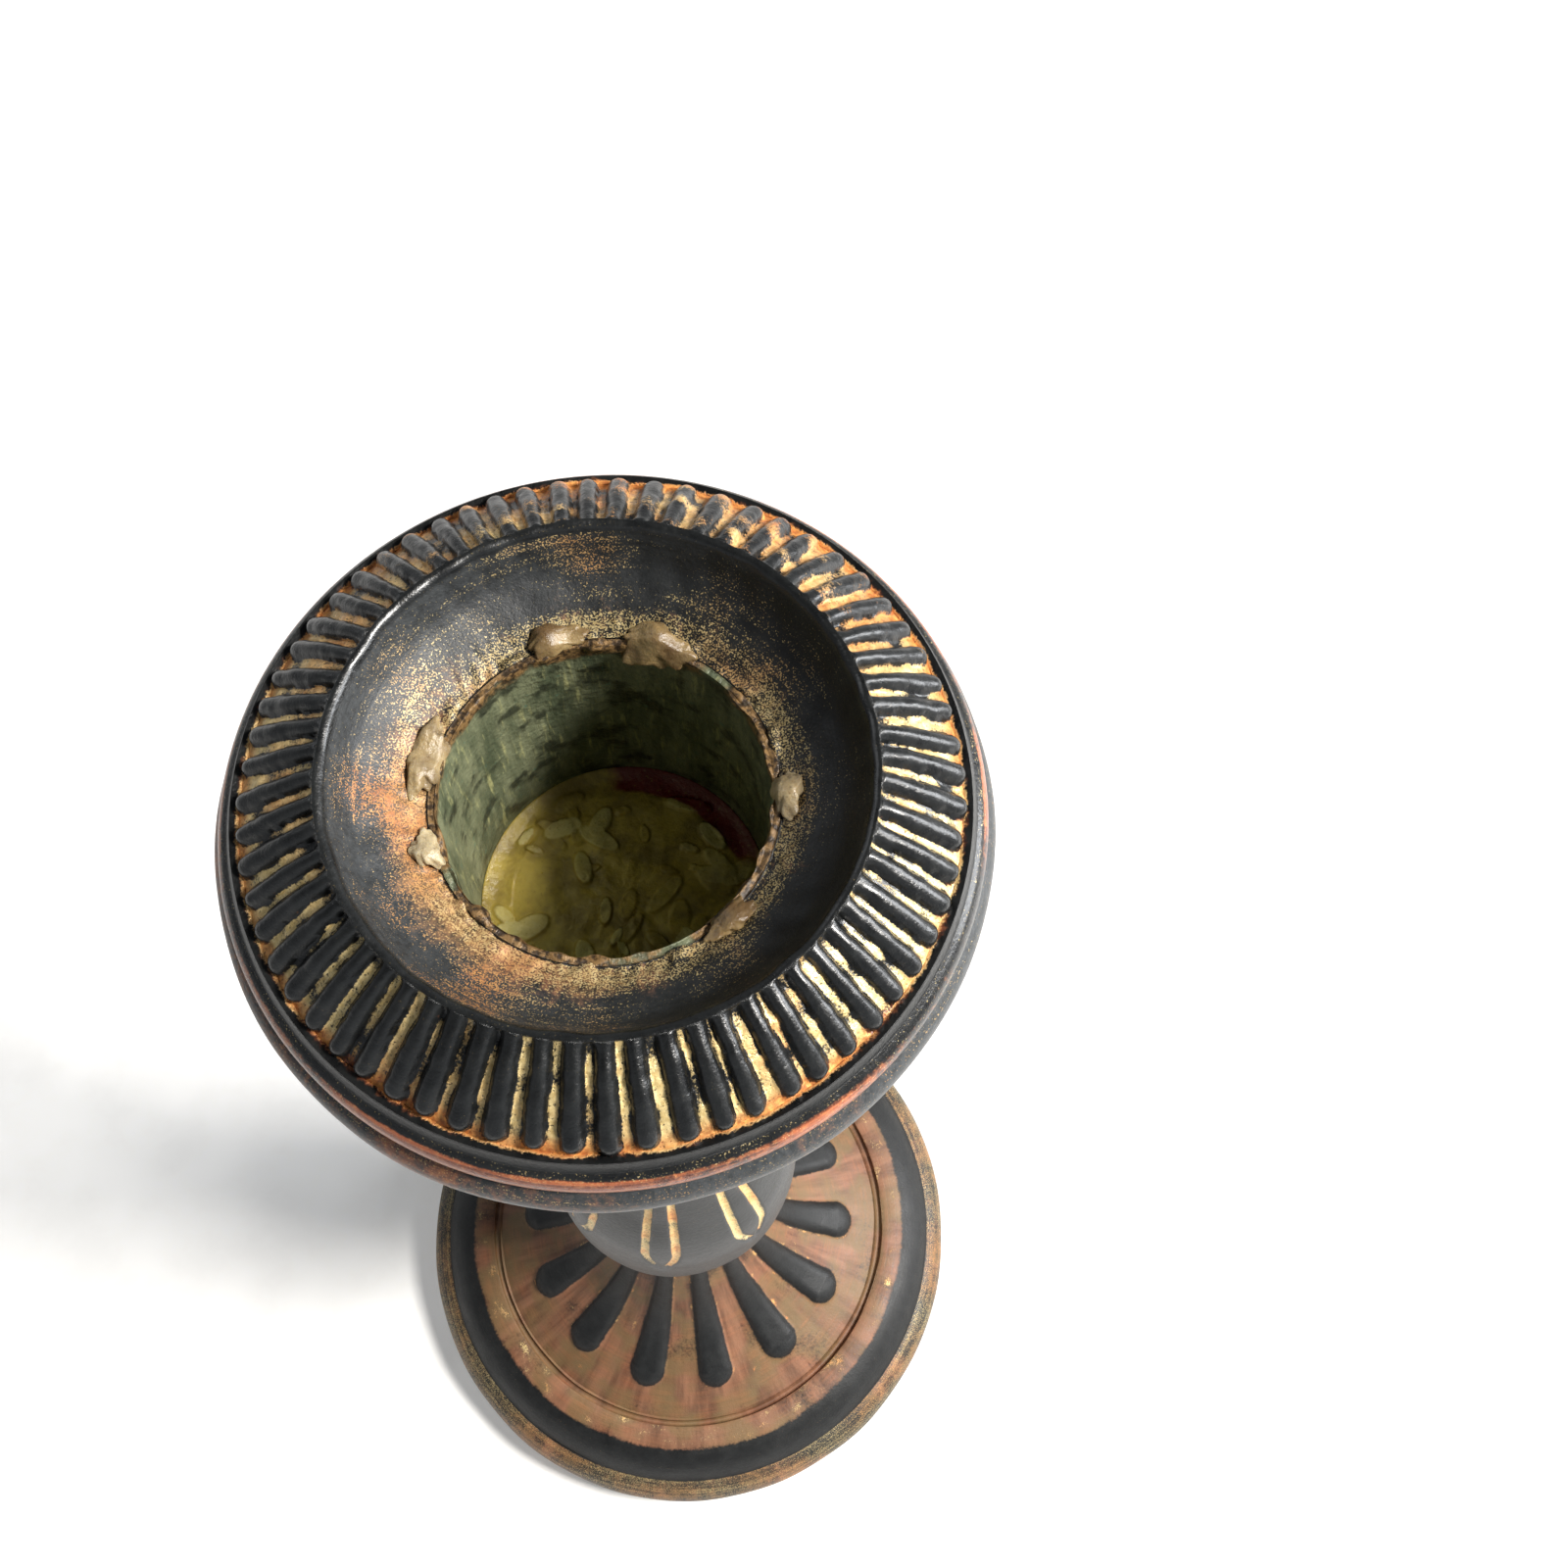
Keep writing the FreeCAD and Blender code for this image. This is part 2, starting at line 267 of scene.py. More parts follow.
def wobble(angle, seed, waves=9, first=1):
    """A smooth random number round the axis, from about -1 to 1."""
    rng = np.random.default_rng(seed)
    total = np.zeros_like(angle)
    for k in range(first, first + waves):
        size = 1 / math.sqrt(k - first + 1.5)
        total = total + size * rng.normal() * np.sin(k * angle + rng.uniform(0, 2 * np.pi))
    return total * 0.6


def patches(angle, along, seed, wave_mm=6.0, radius=20.0, terms=26):
    """Smooth random patches over a turned surface, from about -1 to 1."""
    rng = np.random.default_rng(seed)
    total = 0.0
    most = int(2 * np.pi * radius / wave_mm)
    for _ in range(terms):
        turns = rng.integers(-most, most + 1)
        rise = rng.normal() * 2 * np.pi / wave_mm * 0.7
        total = total + np.sin(turns * angle + rise * along + rng.uniform(0, 2 * np.pi))
    return total / math.sqrt(terms)


def lobe_ring(angle, radius, along, count, half, start, end, first, seed, shake, tip=None):
    """Signed distance in millimetres to a ring of raised lobes, below zero on a lobe. half is
    the half width at a place along the lobe. A lobe has a round end at start, and at end too
    unless tip is given, where it narrows to that half width. first is the bearing of the first
    lobe, and shake is how uneven their spacing is, as a share of it."""
    rng = np.random.default_rng(seed)
    pitch = 2 * np.pi / count
    shifts = rng.normal(0, shake, count)
    widths = 1 + rng.normal(0, 0.035, count)
    slides = rng.normal(0, 0.09, count)
    near = np.round((angle - math.radians(first)) / pitch).astype(int)
    best = np.full(np.broadcast(angle, along).shape, 1e3)
    for offset in (-1, 0, 1):
        k = (near + offset) % count
        centre = math.radians(first) + (near + offset + shifts[k]) * pitch
        across = np.abs(angle - centre) * radius
        wide = half * widths[k]
        low = start + slides[k]
        if tip is None:
            middle = np.clip(along, low + wide, end - wide)
            gap = np.hypot(across, along - middle) - wide
        else:
            share = np.clip((along - low - wide) / (end - low - wide), 0, 1.15)
            body = across - (wide + (tip - wide) * share ** 0.85)
            cap = np.hypot(across, along - low - wide) - wide
            gap = np.where(along < low + wide, cap, np.maximum(body, along - end))
        best = np.minimum(best, gap)
    return best


def cushion(edge, half, depth):
    """Height below a lobe's own top: 0 on its middle line, rounding to -depth at its edge."""
    share = np.clip(1 + edge / np.maximum(half, 1e-6), 0, 1)
    return -depth * (1 - np.sqrt(1 - 0.97 * share ** 2)) / (1 - math.sqrt(0.03))


# ---------------------------------------------------------------- meshes
def new_object(name, data):
    """An object in the scene."""
    thing = bpy.data.objects.new(name, data)
    bpy.context.scene.collection.objects.link(thing)
    return thing


def new_piece(name, vertices, faces, numbers, finish, node, angle=55):
    """A mesh object with a number per vertex for each name, which rides on the body and stands
    for a CAD node. A finish is a material and a slot name; the slot name is not used. Edges
    sharper than angle stay sharp."""
    material, slot = finish
    mesh = bpy.data.meshes.new(name)
    mesh.from_pydata((vertices * MM).tolist(), [], faces)
    for key, values in numbers.items():
        if values.ndim == 2:
            layer = mesh.attributes.new(key, "FLOAT_VECTOR", "POINT")
            layer.data.foreach_set("vector", values.astype(np.float32).ravel())
        else:
            layer = mesh.attributes.new(key, "FLOAT", "POINT")
            layer.data.foreach_set("value", values.astype(np.float32))
    mesh.polygons.foreach_set("use_smooth", [True] * len(mesh.polygons))
    mesh.set_sharp_from_angle(angle=math.radians(angle))
    mesh.materials.append(material)
    piece = new_object(name, mesh)
    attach(piece, "root")
    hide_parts(node)
    return piece


def turned_piece(name, outline, angle, push, numbers, finish, node):
    """A turned piece. angle is a row of bearings, push is how far each point moves out of the
    surface, and push and numbers are rows by bearings. A run that ends on the axis is closed
    there with triangles."""
    count = angle.shape[1]
    rows = len(outline.r)
    shape = (rows, count)
    push = np.broadcast_to(push, shape)
    r = outline.r[:, None] + outline.out_r[:, None] * push
    z = outline.z[:, None] + outline.out_z[:, None] * push
    grid = np.stack([r * np.cos(angle), r * np.sin(angle), z], 2)
    numbers = {key: np.broadcast_to(value, shape) for key, value in numbers.items()}
    run = np.broadcast_to(outline.along[:, None] + outline.r[:, None] * 0.3, shape)
    turn = np.stack(np.broadcast_arrays(np.cos(angle), np.sin(angle), run), 2)
    index = np.arange(rows * count).reshape(shape)
    beside = np.roll(index, -1, 1)
    faces = []
    if outline.closed:
        above, above_beside = np.roll(index, -1, 0), np.roll(beside, -1, 0)
        quads = np.stack([index, beside, above_beside, above], 2).reshape(-1, 4)
        vertices = grid.reshape(-1, 3)
        flat = {key: value.reshape(-1) for key, value in numbers.items()}
        flat["turn"] = turn.reshape(-1, 3)
    else:
        quads = np.stack([index[1:-2], beside[1:-2], beside[2:-1], index[2:-1]], 2)
        quads = quads.reshape(-1, 4) - count
        inner = (rows - 2) * count
        ends = np.array([[0, 0, outline.z[0]], [0, 0, outline.z[-1]]])
        vertices = np.concatenate([grid[1:-1].reshape(-1, 3), ends])
        flat = {key: np.concatenate([value[1:-1].reshape(-1), [value[0, 0], value[-1, 0]]])
                for key, value in numbers.items()}
        flat["turn"] = np.concatenate([turn[1:-1].reshape(-1, 3), [turn[0, 0], turn[-1, 0]]])
        for j in range(count):
            beyond = (j + 1) % count
            faces.append((inner, beyond, j))
            faces.append((inner + 1, inner - count + j, inner - count + beyond))
    faces += quads.tolist()
    return new_piece(name, vertices, faces, flat, finish, node)


def bearings(count):
    """A row of evenly spaced bearings, in radians."""
    return (2 * np.pi * np.arange(count) / count)[None, :]


# ---------------------------------------------------------------- materials
class Graph:
    """Short calls that build a node tree."""

    def __init__(self, tree, space):
        self.nodes, self.links = tree.nodes, tree.links
        self.place = self.add("TexCoord").outputs[space]

    def plug(self, socket, value):
        """Link an output to a socket, or set the socket's own value."""
        if isinstance(value, bpy.types.NodeSocket):
            self.links.new(value, socket)
        elif socket.type == "RGBA":
            socket.default_value = (*value, 1)
        else:
            socket.default_value = value

    def add(self, kind, inputs=None, **settings):
        """A new node, with its settings, and its inputs by name or number."""
        node = self.nodes.new("ShaderNode" + kind)
        for name, value in settings.items():
            setattr(node, name, value)
        for socket, value in (inputs or {}).items():
            self.plug(node.inputs[socket], value)
        return node

    def number(self, name):
        """A mesh's own number per vertex."""
        return self.add("Attribute", attribute_name=name).outputs["Fac"]

    def math(self, operation, a, b):
        """A sum on two numbers."""
        return self.add("Math", {0: a, 1: b}, operation=operation).outputs[0]

    def total(self, *terms):
        """Sum of numbers, each with its own factor: (factor, number)."""
        result = 0.0
        for factor, number in terms:
            inputs = {0: number, 1: factor, 2: result}
            result = self.add("Math", inputs, operation="MULTIPLY_ADD").outputs[0]
        return result

    def noise_at(self, place, scale, detail, rough):
        """Noise at any coordinates."""
        inputs = {"Vector": place, "Scale": scale, "Detail": detail, "Roughness": rough}
        return self.add("TexNoise", inputs).outputs["Fac"]

    def noise(self, size_mm, detail, rough):
        """Noise with grains of this size."""
        return self.noise_at(self.place, 1 / (size_mm * MM), detail, rough)

    def streaks(self, across, run, detail, rough):
        """Noise stretched along the turning: across is its scale per radian, run per
        millimetre."""
        turn = self.add("Attribute", attribute_name="turn").outputs["Vector"]
        inputs = {0: turn, 1: (across, across, run)}
        place = self.add("VectorMath", inputs, operation="MULTIPLY").outputs[0]
        return self.noise_at(place, 1.0, detail, rough)

    def ramp(self, value, low, high, to_low=0.0, to_high=1.0):
        """A smooth step of a number from low to high."""
        inputs = {"Value": value, "From Min": low, "From Max": high,
                  "To Min": to_low, "To Max": to_high}
        return self.add("MapRange", inputs, interpolation_type="SMOOTHSTEP").outputs["Result"]

    def mix(self, factor, a, b):
        """A colour between two colours."""
        return self.add("Mix", data_type="RGBA", inputs={0: factor, 6: a, 7: b}).outputs[2]

    def level(self, factor, a, b):
        """A number between two numbers."""
        return self.add("Mix", {0: factor, 2: a, 3: b}).outputs[0]

    def bump(self, height, distance_mm, strength):
        """The normal over a relief this deep."""
        inputs = {"Strength": strength, "Distance": distance_mm * MM, "Height": height}
        return self.add("Bump", inputs).outputs["Normal"]


class Finish(Graph):
    """A node material."""

    def __init__(self, name):
        self.material = bpy.data.materials.new(name)
        self.material.use_nodes = True
        super().__init__(self.material.node_tree, "Object")
        self.shader = self.nodes["Principled BSDF"]

    def set(self, **values):
        """Set the shader's inputs by name, with _ for a space."""
        for name, value in values.items():
            self.plug(self.shader.inputs[name.replace("_", " ")], value)
        return self.material


def gilded_wood():
    """Black paint over a copper-red ground, with worn gilding, ruled by the mesh's numbers."""
    g = Finish("gilded_wood")
    grain = g.noise(0.16, 2.0, 0.6)
    grit = g.noise(0.42, 3.0, 0.6)
    cloud = g.noise(1.7, 3.0, 0.55)
    drift = g.noise(7.0, 2.0, 0.5)
    streak = g.streaks(13.0, 0.09, 3.0, 0.6)
    ring = g.streaks(1.6, 3.2, 3.0, 0.6)

    gold = g.number("gold")
    warm = g.number("warm")
    copper = g.number("copper")
    tan = g.number("tan")
    dust = g.number("dust")
    grey_and_sheen = g.number("grey_and_sheen")

    black = g.mix(g.ramp(cloud, 0.3, 0.7), (0.0030, 0.0033, 0.0035), (0.0085, 0.0092, 0.0092))
    # A lighter slate grey where the grey number is high: the paint's own grey tone, and on the
    # left of the dish a painted sheen.
    slate_and_sheen = g.math("MULTIPLY", grey_and_sheen, g.ramp(grit, 0.3, 0.7, 0.5, 1.0))
    black = g.mix(slate_and_sheen, black, (0.075, 0.083, 0.088))
    red = g.mix(g.ramp(ring, 0.38, 0.62), (0.15, 0.038, 0.016), (0.44, 0.125, 0.045))
    red = g.mix(g.ramp(grit, 0.48, 0.75, 0.0, 0.7), red, (0.48, 0.19, 0.07))
    brown = g.mix(g.ramp(streak, 0.32, 0.68), (0.105, 0.050, 0.026), (0.245, 0.118, 0.064))
    brown = g.mix(g.ramp(drift, 0.42, 0.60, 0.0, 0.8), brown, (0.165, 0.108, 0.046))
    red = g.mix(tan, red, brown)
    copper_level = g.total((1.0, copper), (0.55, grit), (0.35, cloud), (0.35, streak))
    ground = g.mix(g.ramp(copper_level, 0.92, 1.32), black, red)

    pale = g.mix(g.ramp(grit, 0.3, 0.7), (0.90, 0.72, 0.36), (0.64, 0.47, 0.19))
    orange = g.mix(g.ramp(grit, 0.3, 0.7), (0.86, 0.40, 0.11), (0.46, 0.15, 0.045))
    hue = g.total((1.0, warm), (0.8, drift), (0.5, cloud))
    leaf = g.mix(g.ramp(hue, 0.65, 1.4), pale, orange)
    worn_leaf = g.total((1.0, gold), (0.42, grain), (0.40, grit), (0.22, cloud))
    cover = g.ramp(worn_leaf, 0.92, 1.12)
    pits = g.ramp(g.noise(0.22, 2.0, 0.55), 0.60, 0.70, 0.0, 0.85)
    cover = g.math("MULTIPLY", cover, g.math("SUBTRACT", 1.0, pits))
    powder = g.noise(0.12, 1.0, 0.5)
    specks = g.ramp(g.total((0.30, dust), (0.8, powder), (0.40, ring), (0.15, cloud)), 0.88, 1.00)
    specks = g.math("MULTIPLY", specks, g.ramp(dust, 0.0, 0.25))
    shine = g.math("MAXIMUM", cover, g.math("MULTIPLY", specks, 0.50))
    colour = g.mix(shine, ground, leaf)

    rough = g.total((0.20, grit), (0.12, ring), (0.14, cloud), (0.24, tan), (0.08, 1.0))
    rough = g.level(shine, rough, g.total((0.25, grain), (0.30, 1.0)))
    height = g.total((0.5, grain), (0.7, grit), (0.5, cover), (0.5, ring), (0.8, cloud))
    return g.set(
        Base_Color=colour,
        Metallic=g.math("MULTIPLY", shine, 0.40),
        Roughness=rough,
        Normal=g.bump(height, 0.09, 0.55),
        Specular_IOR_Level=0.42,
        Coat_Weight=g.ramp(tan, 0.0, 0.7, 0.22, 0.0),
        Coat_Roughness=0.16,
    )


def verdigris_brass():
    """Tarnished brass with green and yellow streaks that run down the wall."""
    g = Finish("verdigris_brass")
    grit = g.noise(0.5, 4.0, 0.6)
    cloud = g.noise(2.4, 3.0, 0.6)
    run = g.streaks(5.0, 0.10, 4.0, 0.6)
    fine_run = g.streaks(22.0, 0.22, 4.0, 0.65)
    green = g.mix(g.ramp(run, 0.35, 0.65), (0.075, 0.092, 0.052), (0.20, 0.215, 0.125))
    green = g.mix(g.ramp(fine_run, 0.55, 0.72, 0.0, 0.7), green, (0.46, 0.45, 0.20))
    green = g.mix(g.ramp(cloud, 0.50, 0.66, 0.0, 0.85), green, (0.020, 0.024, 0.015))
    bloom = g.noise(1.3, 4.0, 0.7)
    green = g.mix(g.ramp(bloom, 0.62, 0.72, 0.0, 0.8), green, (0.09, 0.17, 0.12))
    crust = g.ramp(g.total((0.9, g.number("edge")), (0.5, cloud), (0.3, grit)), 0.62, 0.95)
    dirt = g.mix(g.ramp(grit, 0.4, 0.6), (0.035, 0.022, 0.012), (0.22, 0.13, 0.05))
    colour = g.mix(crust, green, dirt)
    return g.set(
        Base_Color=colour,
        Metallic=0.15,
        Roughness=g.total((0.3, grit), (0.30, 1.0)),
        Normal=g.bump(g.total((0.8, grit), (0.5, fine_run), (1.0, cloud)), 0.30, 0.7),
    )


def old_wax(name, deep, pale, dirt):
    """Semi-clear old wax, dirty and chipped, paler where the mesh's flake number is high and
    red where its stain number is."""
    g = Finish(name)
    grit = g.noise(0.5, 4.0, 0.65)
    cloud = g.noise(2.6, 3.0, 0.6)
    colour = g.mix(g.ramp(cloud, 0.35, 0.68), deep, dirt)
    flake = g.ramp(g.total((1.0, g.number("flake")), (0.35, grit)), 0.35, 0.95)
    colour = g.mix(flake, colour, pale)
    stain = g.ramp(g.total((1.0, g.number("stain")), (0.5, cloud)), 0.55, 0.95)
    colour = g.mix(stain, colour, (0.16, 0.010, 0.006))
    colour = g.mix(g.ramp(g.noise(0.35, 3.0, 0.6), 0.60, 0.72, 0.0, 0.6), colour, dirt)
    return g.set(
        Base_Color=colour,
        Roughness=g.total((0.35, grit), (0.16, 1.0)),
        Subsurface_Weight=0.15,
        Subsurface_Radius=(1.0, 0.7, 0.3),
        Subsurface_Scale=0.001,
        Normal=g.bump(g.total((0.8, grit), (0.6, cloud)), 0.25, 0.6),
    )


def felt():
    """Green baize, with short crossing hairs."""
    g = Finish("baize_felt")
    hair = g.noise(0.22, 4.0, 0.7)
    tuft = g.noise(1.1, 3.0, 0.6)
    colour = g.mix(g.ramp(hair, 0.35, 0.65), (0.012, 0.045, 0.022), (0.035, 0.11, 0.055))
    colour = g.mix(g.ramp(tuft, 0.55, 0.75, 0.0, 0.4), colour, (0.07, 0.13, 0.08))
    return g.set(
        Base_Color=colour,
        Roughness=0.95,
        Sheen_Weight=0.35,
        Normal=g.bump(g.total((1.0, hair), (0.5, tuft)), 0.25, 0.8),
    )


def dull_steel():
    """Zinc plated steel, slightly stained."""
    g = Finish("dull_steel")
    grit = g.noise(0.5, 3.0, 0.6)
    cloud = g.noise(3.0, 3.0, 0.6)
    colour = g.mix(g.ramp(cloud, 0.35, 0.65), (0.46, 0.46, 0.44), (0.30, 0.30, 0.29))
    colour = g.mix(g.ramp(grit, 0.62, 0.74, 0.0, 0.6), colour, (0.17, 0.11, 0.07))
    return g.set(
        Base_Color=colour,
        Metallic=0.9,
        Roughness=g.total((0.25, grit), (0.28, 1.0)),
        Normal=g.bump(grit, 0.05, 0.4),
    )


# ---------------------------------------------------------------- the pieces
def build_base(wood):
    """The round foot: rounded rim, moulding, groove, and a dome with raised petals."""
    dome_shape = [(0.757, 0.092), (0.378, 0.30), (0.19, 0.553), (0.06, 0.82), (0.0, 1.0)]
    outline = Outline(
        (counterbore_r, foot_z),
        ("under", (base_r - foot_in, foot_z)),
        ("rim", (base_r, foot_z + rim_h / 2), (step_r, rim_top)),
        ("moulding", (step_r - 3.0, rim_top + 3.5), (moulding_in, moulding_top)),
        ("groove", (moulding_in - 0.45, moulding_top - 0.7), (dome_r, moulding_top)),
        ("dome", *spread(dome_shape, dome_top_r, dome_r, moulding_top, stem_z)),
        ("joint", (tenon_r + glue_gap, stem_z)),
        ("bore", (tenon_r + glue_gap, web_top_z)),
        ("bore", (hole_clear_r, web_top_z)),
        ("bore", (hole_clear_r, washer_top_z)),
        ("bore", (counterbore_r, washer_top_z)),
        ("bore", (counterbore_r, foot_z)),
        step=1.6, close={"dome": 0.42, "rim": 0.7, "moulding": 0.6, "groove": 0.3},
    )
    angle = bearings(616)
    on_dome = outline.on("dome")
    radius, along, _ = outline.columns
    dome_rows = outline.name == "dome"
    petal_out = np.interp(-petal_out_r, -outline.r[dome_rows], outline.along[dome_rows])
    petal_in = np.interp(-petal_in_r, -outline.r[dome_rows], outline.along[dome_rows])
    edge = lobe_ring(angle, radius, along, petals, petal_half, petal_out, petal_in,
                     first=-75.0, seed=SEED + 1, shake=0.014, tip=0.55)
    edge = np.where(on_dome > 0, edge, 9.0)
    round_half = np.where(along > petal_out + petal_half, 1.6, petal_half)
    rise = 0.95 * (1 + cushion(edge, round_half, 1.0))
    rise = np.where(edge < 0, 0.2 + rise * 0.9, 0.2 * (1 - smooth(edge, 0, 0.5)))
    push = on_dome * (rise - 0.35)
    push = push + 0.06 * patches(angle, along, SEED + 2, 9.0, 30.0) * smooth(radius, 9, 14)
    spots = patches(angle, along, SEED + 3, 3.0, 28.0)
    wide = patches(angle, along, SEED + 4, 12.0, 28.0)
    rim, moulding, groove = outline.on("rim"), outline.on("moulding"), outline.on("groove")
    inner_band = moulding * smooth(-radius, -(step_r - 3.9), -(step_r - 5.4))
    ground = on_dome * smooth(edge, -0.25, 0.55)
    # Near the stem the copper ground falls to black: painted shade under the vase. The small gold
    # rise there is the ground's own pale streaks.
    stem_shade_and_streaks = smooth(-radius, -15.0, -9.5)
    gold = ground * (0.13 + 0.14 * spots + 0.05 * stem_shade_and_streaks) + inner_band * (0.30 + 0.10 * spots)
    gold = gold + on_dome * bump_at(edge, 0.35, 0.5) * 0.22 + rim * (0.06 + 0.08 * spots)
    gold = gold + groove * 0.15
    copper = ground * (0.74 + 0.12 * wide - 0.45 * stem_shade_and_streaks) + inner_band * (0.72 + 0.1 * wide)
    copper = copper + rim * (0.36 + 0.12 * wide) + groove * 0.80
    dust = moulding * 0.10 + rim * 0.70 + ground * 0.08
    warm = 0.25 + 0.20 * ground + 0.15 * wide
    grey_and_sheen = on_dome * (edge < 0) * 0.04 + rim * 0.15
    tan = 0.92 + 0.08 * spots
    numbers = dict(gold=gold, warm=warm, copper=copper, tan=tan, dust=dust, grey_and_sheen=grey_and_sheen)
    return turned_piece("turned_base", outline, angle, push, numbers, wood, "base")


def build_vase(wood):
    """The collar, the waist and the vase with its pairs of carved lines."""
    vase_shape = [(0.818, 0.196), (1.0, 0.443), (0.871, 0.587), (0.5, 0.743), (0.2, 0.90)]
    collar_top = stem_z + collar_h
    waist_top = collar_top + waist_h
    column_tenon_z = column_end_z - end_gap
    outline = Outline(
        (screw_r, tenon_end_z),
        ("tenon", (tenon_r, tenon_end_z)),
        ("tenon", (tenon_r, stem_z)),
        ("neck", (neck_r, stem_z)),
        ("collar", (collar_r, stem_z + collar_h / 2), (neck_r, collar_top)),
        ("waist", (waist_r, collar_top + 1.6), (waist_r + 0.65, waist_top)),
        ("vase", *spread(vase_shape, waist_r, belly_r, waist_top, joint_z), (joint_r, joint_z)),
        ("joint", (tenon_r + glue_gap, joint_z)),
        ("bore", (tenon_r + glue_gap, column_tenon_z)),
        ("bore", (pilot_r, column_tenon_z)),
        ("bore", (pilot_r, screw_end_z)),
        ("bore", (screw_r, screw_end_z - 4.0)),
        ("bore", (screw_r, tenon_end_z)),
        step=1.8, close={"vase": 0.7, "collar": 0.5, "waist": 0.5},
    )
    angle = bearings(480)
    radius, along, height = outline.columns
    on_vase = outline.on("vase")
    pitch = 2 * np.pi / line_pairs
    fade = smooth(height, line_low - 1.5, line_low + 2.0)
    fade = fade * (1 - smooth(height, joint_z - 3.2, joint_z - 1.6))
    closing = smooth(height, line_low - 1.0, line_low + 7.0)
    off = (angle + 0.5 * pitch) % pitch - 0.5 * pitch
    rng = np.random.default_rng(SEED + 5)
    near = np.floor((angle + 0.5 * pitch) / pitch).astype(int) % line_pairs
    off = off + rng.normal(0, 0.012, line_pairs)[near]
    across = np.abs(off) * radius
    reed = (1.05 + 0.95 * smooth(height, joint_z - 4, line_low + 6)) * closing
    width = 0.72 - 0.18 * smooth(height, 95, joint_z)
    line = (np.abs(across - reed) - width) + 3 * (1 - fade)
    valley = np.clip(1 - (np.abs(across - reed) / width) ** 2, 0, 1) * fade
    reed_top = np.clip(1 - (across / np.maximum(reed, 0.3)) ** 2, 0, 1) * fade * (across < reed)
    push = on_vase * (-0.42 * valley + 0.16 * reed_top)
    push = push + on_vase * 0.05 * patches(angle, along, SEED + 6, 10.0, 14.0)
    spots = patches(angle, along, SEED + 7, 3.0, 12.0)
    collar = outline.on("collar")
    gold = on_vase * (1 - smooth(line, -0.30, 0.15)) * (0.60 + 0.10 * spots)
    gold = gold + collar * 0.10 * bump_at(height, stem_z + collar_h / 2, 2.4) + on_vase * 0.02
    copper = collar * 0.20 + outline.on("waist") * 0.15
    copper = copper + on_vase * bump_at(line, 0.25, 0.4) * 0.30
    copper = copper + on_vase * 0.12 * smooth(-height, -66, -60)
    dust = on_vase * 0.10 + collar * 0.3
    warm = 0.25 + 0.2 * spots
    grey_and_sheen = on_vase * 0.06 + 0.02
    tan = on_vase * 0.5
    numbers = dict(gold=gold, warm=warm, copper=copper, tan=tan, dust=dust, grey_and_sheen=grey_and_sheen)
    return turned_piece("turned_vase", outline, angle, push, numbers, wood, "vase_stem")


def build_column(wood):
    """The ring, and the shaft with its raised reeds."""
    ring_z = joint_z + ring_low
    ring_top = ring_z + ring_h
    swell_z = ring_top + swell_h
    cup_tenon_z = cup_end_z - end_gap
    outline = Outline(
        (0, column_end_z),
        ("tenon", (tenon_r, column_end_z)),
        ("tenon", (tenon_r, joint_z)),
        ("neck", (joint_r, joint_z)),
        ("neck", (joint_r * 0.98, joint_z + ring_low / 2), (ring_neck_r, ring_z)),
        ("ring", (shaft_r, ring_z + ring_h / 2), (ring_neck_r, ring_top)),
        ("swell", (shaft_r - 0.55, ring_top + swell_h * 0.4), (shaft_r, swell_z)),
        ("shaft", (column_top_r, cup_z)),
        ("joint", (tenon_r + glue_gap, cup_z)),
        ("bore", (tenon_r + glue_gap, cup_tenon_z)),
        ("bore", (0, cup_tenon_z)),
        step=2.0, close={"shaft": 0.9, "ring": 0.5, "swell": 0.5},
    )
    angle = bearings(480)
    radius, along, height = outline.columns
    rng = np.random.default_rng(SEED + 8)
    pitch = 2 * np.pi / reeds
    near = np.round(angle / pitch).astype(int)
    shift = rng.normal(0, 0.02, reeds)
    valley_at = np.full(np.broadcast(angle, radius).shape, 1e3)
    for offset in (-1, 0, 1):
        k = (near + offset) % reeds
        away = np.abs(angle - (near + offset + shift[k]) * pitch) * radius
        valley_at = np.minimum(valley_at, away)
    shaft = outline.on("shaft", "swell")
    low, high = swell_z + 0.6, cup_z - 2.6
    beyond = np.maximum(np.maximum(low - height, height - high), 0)
    edge = cut_half - np.hypot(valley_at, beyond)
    half_reed = pitch * radius * 0.5 - cut_half
    bow = np.clip((valley_at - cut_half) / half_reed, 0, 1)
    inside = smooth(height, low - 1.5, low + 1.0) * (1 - smooth(height, high - 1.0, high + 1.2))
    round_reed = 0.5 * (1 - np.sqrt(1 - 0.98 * (1 - bow) ** 2))
    push = -shaft * inside * np.where(valley_at < cut_half, 0.5, round_reed)
    spots = patches(angle, along, SEED + 9, 3.0, 10.0)
    ring = outline.on("ring")
    gold = shaft * smooth(edge, -0.30, 0.05) * (0.52 + 0.12 * spots)
    gold = gold + ring * (0.14 + 0.1 * spots) * bump_at(height, ring_z + ring_h / 2, 2.6)
    copper = ring * 0.42 + outline.on("neck") * 0.3
    copper = copper + shaft * smooth(-height, -(swell_z + 7), -swell_z) * 0.30
    copper = copper + shaft * bump_at(edge, -0.25, 0.35) * 0.22
    dust = shaft * 0.12 + ring * 0.3
    warm = 0.30 + 0.15 * spots + 0.3 * smooth(-height, -(swell_z + 12), -swell_z)
    grey_and_sheen = shaft * 0.08
    tan = 0.15 * ring
    numbers = dict(gold=gold, warm=warm, copper=copper, tan=tan, dust=dust, grey_and_sheen=grey_and_sheen)
    return turned_piece("reeded_shaft", outline, angle, push, numbers, wood, "reeded_column")


